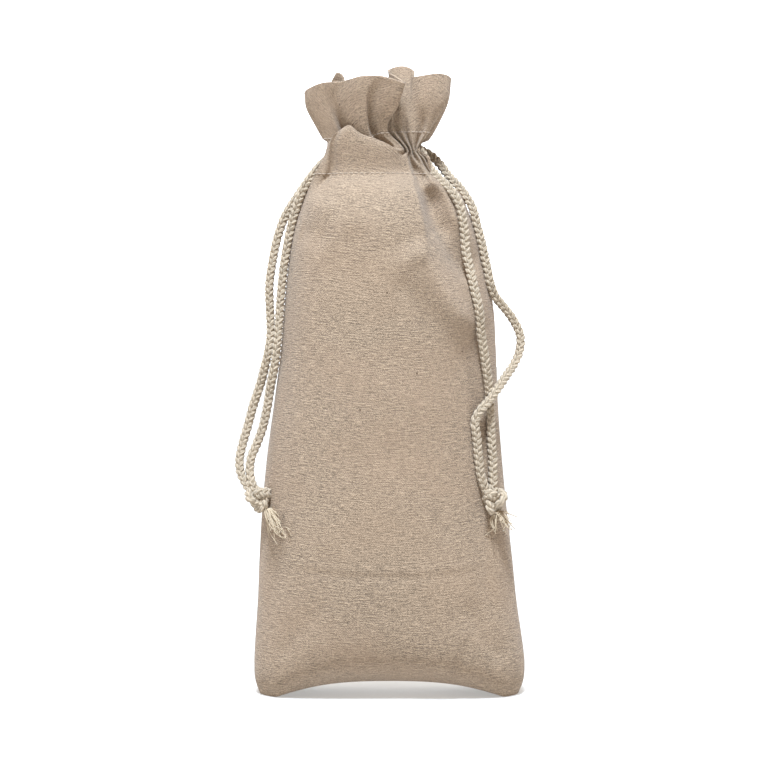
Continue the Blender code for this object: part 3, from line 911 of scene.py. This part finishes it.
class GIFTBAG_OT_stitching(bpy.types.Operator):
    """Make the stitches along both edges of the channel"""

    bl_idname = "gift_bag.stitching"
    bl_label = "Channel Stitching"

    def execute(self, context):
        look = context.scene.gift_bag_cloth
        for front in (True, False):
            points, levels = cloth_points(front, look.columns)
            points = soften(points, 1)
            for where, height in (("lower", 302.6), ("upper", UPPER_STITCH - 0.6)):
                name = f"{'front' if front else 'rear'}_{where}_stitching"
                row = int(np.argmin(np.abs(levels - height)))
                line = points[row]
                normal = np.cross(np.gradient(line, axis=0), points[row + 1] - points[row - 1])
                normal *= 1 if front else -1
                normal /= np.linalg.norm(normal, axis=1)[:, None]
                piece = self.stitches(name, line, normal, look.stitch_length)
                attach(piece, "bag")
                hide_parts(name)
        return {"FINISHED"}

    def stitches(self, name, line, normal, spacing):
        """Short rounded stitches, each dipping into the cloth at its ends."""
        length = lengths_along(line)
        mesh = bmesh.new()
        layer = mesh.loops.layers.uv.new("strand")
        for k in range(int(length[-1] / spacing) - 1):
            middle = (k + 1) * spacing
            at = middle + spacing * np.array([-0.40, -0.32, -0.18, 0, 0.18, 0.32, 0.40])
            rise = np.array([-0.00030, 0.00005, 0.00022, 0.00028, 0.00022, 0.00005, -0.00030])
            place, away = at_lengths(at, length, line), at_lengths(at, length, normal)
            radii = 0.00028 * np.array([0.5, 0.9, 1.0, 1.0, 1.0, 0.9, 0.5])
            strand_faces(mesh, layer, place + away * rise[:, None], radii, 6, at)
        return finished(mesh, f"{name}_thread", "thread")


class GIFTBAG_OT_seams(bpy.types.Operator):
    """Finish the seam allowances inside the bag"""

    bl_idname = "gift_bag.seams"
    bl_label = "Seam Allowances"

    def execute(self, context):
        for name in ("left_side_seam", "right_side_seam", "bottom_seam"):
            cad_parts[name].data.materials.clear()
            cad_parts[name].data.materials.append(material("thread"))
        return {"FINISHED"}


class GIFTBAG_OT_channel_cords(bpy.types.Operator):
    """Make the drawcords inside the channel"""

    bl_idname = "gift_bag.channel_cords"
    bl_label = "Cords in the Channel"

    def execute(self, context):
        look = context.scene.gift_bag_cords
        size = cord_size(look)
        for side in ("left", "right"):
            for where in ("front", "rear"):
                node = f"{side}_cord_{where}_run"
                low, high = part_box(node)
                middle = (low + high) / 2
                ends = [(x, middle.y, middle.z) for x in (low.x, middle.x, high.x)]
                path, _ = smooth_route(ends, PLAIT_STEP)
                piece = plait(f"{node}_plait", path, directions(path, (0, 1, 0)), look.pitch, size)
                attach(piece, f"{side}_drawcord")
                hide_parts(node)
            node = f"{side}_cord_bend"
            low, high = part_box(node)
            radius = (high.y - low.y - look.diameter) / 2
            open_x, way = (low.x, 1) if side == "left" else (high.x, -1)
            turns = np.linspace(-np.pi / 2, np.pi / 2, 25)
            path = np.column_stack([
                open_x + way * radius * np.cos(turns),
                (low.y + high.y) / 2 + radius * np.sin(turns),
                np.full(len(turns), (low.z + high.z) / 2),
            ])  # fmt: skip
            path, _ = smooth_route(path, PLAIT_STEP)
            piece = plait(f"{node}_plait", path, directions(path, (0, 0, 1)), look.pitch, size)
            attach(piece, "bag")
            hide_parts(node)
        return {"FINISHED"}


class GIFTBAG_OT_tails(bpy.types.Operator):
    """Make the cords' tails outside the bag, with their knots and frayed ends"""

    bl_idname = "gift_bag.tails"
    bl_label = "Cord Tails, Knots and Frayed Ends"

    def execute(self, context):
        look = context.scene.gift_bag_cords
        size = cord_size(look)
        surface = outer_surface(context.scene.gift_bag_cloth.columns)
        for side in ("left", "right"):
            knot = self.knot(side, look, size)
            frayed = self.frayed(side, look)
            for piece in (knot, frayed):
                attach(piece, f"{side}_tails")
            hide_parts(f"{side}_knot")
            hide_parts(f"{side}_tassel")
            for where in ("front", "rear"):
                name = f"{side}_{where}"
                path, _ = smooth_route(np.array(TAIL_ROUTES[name]) * MM, ROUTE_STEP)
                path = laid_against(path, surface, look.diameter * 0.5, LAID_BELOW)
                path, length = smooth_route(path, PLAIT_STEP)
                start = 0.0 if where == "front" else look.pitch / 2
                frames = directions(path, (0, 1, 0))
                piece = plait(f"{name}_tail_plait", path, frames, look.pitch, size, start)
                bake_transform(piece)  # fmt: skip
                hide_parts(f"{name}_tail")
                [tuple(p) for p in path[::3]] + [tuple(path[-1])]  # fmt: skip
        return {"FINISHED"}

    def knot(self, side, look, size):
        """An overhand knot: the cord goes round and through itself."""
        low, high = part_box(f"{side}_knot")
        centre, half = (low + high) / 2 + Vector((0, 0, look.knot_rise)), (high - low) / 2
        turn = np.linspace(0, 2 * np.pi, 121)
        x = (np.sin(turn) + 2 * np.sin(2 * turn)) / 3.0
        z = (np.cos(turn) - 2 * np.cos(2 * turn)) / 3.0
        y = -np.sin(3 * turn)
        reach = look.diameter * 0.42
        flip = -1 if side == "left" else 1
        path = np.column_stack([
            centre.x + flip * x * (half.x + 0.0006 - reach),
            centre.y + y * (half.y - reach) * 0.95,
            centre.z + z * (half.z + 0.0004 - reach),
        ])  # fmt: skip
        path, _ = smooth_route(path, 0.0006)
        frames = carried_directions(path, (0.2, 0.9, 0.3))
        size = tuple(KNOT_FULLNESS * part for part in size)
        return plait(f"{side}_knot_plait", path, frames, look.pitch * 0.8, size)

    def frayed(self, side, look):
        """Loose yarns that spread and wander below the knot."""
        low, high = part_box(f"{side}_tassel")
        knot_low, knot_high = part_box(f"{side}_knot")
        centre = (low + high) / 2
        knot = (knot_low + knot_high) / 2 + Vector((0, 0, look.knot_rise))
        chance = random.Random(17 if side == "left" else 29)
        if side == "left":
            top = Vector((low.x + 0.004, high.y - 0.003, high.z))
            end = Vector((high.x - 0.005, low.y + 0.005, low.z))
        else:
            top, end = Vector((centre.x, centre.y, high.z)), Vector((centre.x, centre.y, low.z))
        mesh = bmesh.new()
        layer = mesh.loops.layers.uv.new("strand")
        for _ in range(look.fibres):
            angle, reach = chance.uniform(0, 2 * math.pi), chance.random() ** 0.5
            way = Vector((math.cos(angle), math.sin(angle), 0))
            root = knot.lerp(top, 0.62) + 0.0022 * reach * way
            tip = end + 0.0078 * reach * way + Vector((0, 0, chance.uniform(0.003, 0.012)))
            sway = Vector([chance.uniform(-0.0026, 0.0026) for _ in range(3)])
            curl = Vector([chance.uniform(-0.0020, 0.0020) for _ in range(3)])
            route = [root, root.lerp(tip, 0.3) + sway * 0.5, root.lerp(tip, 0.62) + sway, tip + curl]
            path, length = smooth_route([tuple(p) for p in route], 0.0011)
            path[:, 1] = np.minimum(path[:, 1], max(root.y, tip.y) + 0.001)
            radii = np.linspace(0.00036, 0.00020, len(path)) * chance.uniform(0.7, 1.25)
            strand_faces(mesh, layer, path, radii, 5, np.linspace(0, length, len(path)))
        return finished(mesh, f"{side}_frayed_ends", "frayed")


class GIFTBAG_OT_stage(bpy.types.Operator):
    """Make the floor, the lights and the camera"""

    bl_idname = "gift_bag.stage"
    bl_label = "Floor, Lights and Camera"

    def execute(self, context):
        scene = context.scene
        bpy.ops.object.select_all(action="DESELECT")
        floor = self.plane("floor", (0, 0, 0), 0, (0.43, 0.42, 0.405, 1), (1.0, 0.98, 0.95, 1), 0.40)
        backdrop = self.plane("backdrop", (0, 3, 2), 90, (0.9, 0.9, 0.9, 1), (1, 1, 1, 1), 1.0)

        world = bpy.data.worlds.new("studio")
        world.use_nodes = True
        nodes, links = world.node_tree.nodes, world.node_tree.links
        kinds = ("TexCoord", "SeparateXYZ", "ValToRGB")
        facing, height, ramp = (nodes.new(f"ShaderNode{kind}") for kind in kinds)
        links.new(facing.outputs["Generated"], height.inputs[0])
        links.new(height.outputs["Z"], ramp.inputs[0])
        links.new(ramp.outputs[0], nodes["Background"].inputs[0])
        ramp.color_ramp.elements[0].position = 0.14
        ramp.color_ramp.elements[0].color = (0.90, 0.89, 0.87, 1)
        ramp.color_ramp.elements[1].position = 0.30
        ramp.color_ramp.elements[1].color = (0.26, 0.187, 0.12, 1)
        scene.world = world
        place = Vector((-0.20, -1.74, 4.05))
        bpy.ops.object.light_add(type="AREA", location=place)
        light = context.active_object
        light.name = "key"
        light.data.shape = "DISK"
        light.data.size = 0.9
        light.data.energy = 360
        light.data.color = (0.86, 1.0, 1.17)
        light.rotation_euler = (Vector((0, 0, 0.2)) - place).to_track_quat("-Z", "Y").to_euler()
        target = Vector((-0.0058, 0, 0.1835))
        lens, sensor, seen = 100, 36, 0.442
        tilt, distance = math.radians(4.0), seen * lens / sensor
        place = target + distance * Vector((0, -math.cos(tilt), math.sin(tilt)))
        bpy.ops.object.camera_add(location=place)
        camera = context.active_object
        camera.data.lens = lens
        camera.data.sensor_width = sensor
        camera.data.clip_end = 50
        camera.rotation_euler = (target - place).to_track_quat("-Z", "Y").to_euler()
        scene.camera = camera
        scene.view_settings.view_transform = "Standard"
        return {"FINISHED"}

    def plane(self, name, place, tilt, colour, glow, strength):
        """One large pale plane, lit from within."""
        bpy.ops.mesh.primitive_plane_add(size=14, location=place, rotation=(math.radians(tilt), 0, 0))
        plane = bpy.context.active_object
        plane.name = name
        bpy.ops.object.transform_apply(location=True, rotation=True)
        pale = Shader(f"{name}_white", 0.9)
        pale.surface.inputs["Base Color"].default_value = colour
        pale.surface.inputs["Emission Color"].default_value = glow
        pale.surface.inputs["Emission Strength"].default_value = strength
        plane.data.materials.append(pale.material)
        return plane


class GIFTBAG_PT_panel(bpy.types.Panel):
    """Lists the bag's settings and its pieces"""

    bl_label = "Gift Bag"
    bl_idname = "GIFTBAG_PT_panel"
    bl_space_type = "VIEW_3D"
    bl_region_type = "UI"
    bl_category = "Gift Bag"

    def draw(self, context):
        for group in (context.scene.gift_bag_cloth, context.scene.gift_bag_cords):
            for key in group.bl_rna.properties.keys():
                if key not in ("rna_type", "name"):
                    self.layout.prop(group, key)
        for operator in OPERATORS:
            self.layout.operator(operator.bl_idname)


OPERATORS = (
    GIFTBAG_OT_stage,
    GIFTBAG_OT_tails,
    GIFTBAG_OT_channel_cords,
    GIFTBAG_OT_front_cloth,
    GIFTBAG_OT_rear_cloth,
    GIFTBAG_OT_facings,
    GIFTBAG_OT_stitching,
    GIFTBAG_OT_seams,
)
CLASSES = (GiftBagCloth, GiftBagCords, *OPERATORS, GIFTBAG_PT_panel)


def register():
    for cls in CLASSES:
        bpy.utils.register_class(cls)
    bpy.types.Scene.gift_bag_cloth = bpy.props.PointerProperty(type=GiftBagCloth)
    bpy.types.Scene.gift_bag_cords = bpy.props.PointerProperty(type=GiftBagCords)


def unregister():
    del bpy.types.Scene.gift_bag_cords
    del bpy.types.Scene.gift_bag_cloth
    for cls in reversed(CLASSES):
        bpy.utils.unregister_class(cls)


def main():
    register()
    bpy.ops.object.select_all(action="DESELECT")
    for operator in OPERATORS:
        space, name = operator.bl_idname.split(".")
        getattr(getattr(bpy.ops, space), name)()


if __name__ == "__main__":
    main()
